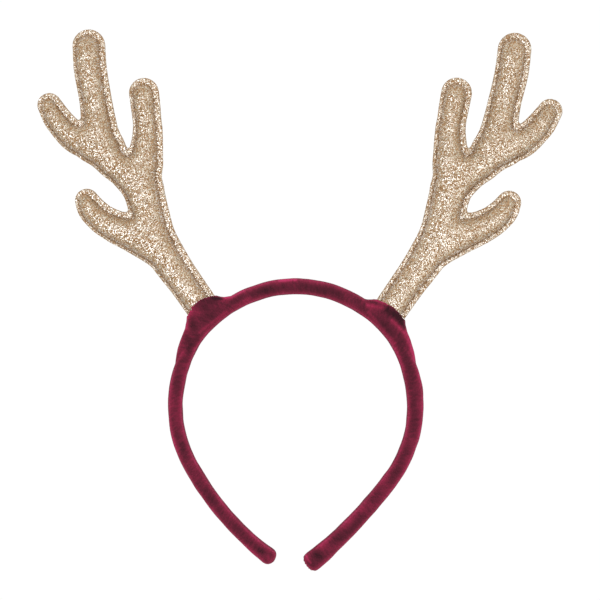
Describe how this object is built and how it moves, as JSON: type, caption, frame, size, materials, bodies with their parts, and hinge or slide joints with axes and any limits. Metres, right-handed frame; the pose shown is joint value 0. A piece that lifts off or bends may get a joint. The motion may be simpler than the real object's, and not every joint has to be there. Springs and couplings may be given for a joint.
{
  "type": "reindeer antler headband",
  "caption": "Padded velvet headband with stuffed glitter-cloth reindeer antlers standing in sleeves of its cover, worn over the crown of the head.",
  "frame": {"origin": "middle of the lowest face of the object's box, on the surface that the headband lies on", "axes": "+X across the head, +Y from the band's open ends to the tips of the antlers, +Z from the back that it lies on up to its front"},
  "size_m": [0.278, 0.2866, 0.013],
  "materials": {
    "velvet": "burgundy crushed velvet, soft sheen, darker on the crest and brighter at the edges",
    "glitter_fabric": "champagne-gold cloth covered in fine glitter, with a flat seam rim"
  },
  "bodies": {
    "root": {"band_cover": "velvet", "antler_left_front": "glitter_fabric", "antler_left_back": "glitter_fabric", "antler_right_front": "glitter_fabric", "antler_right_back": "glitter_fabric"}
  },
  "joints": []
}
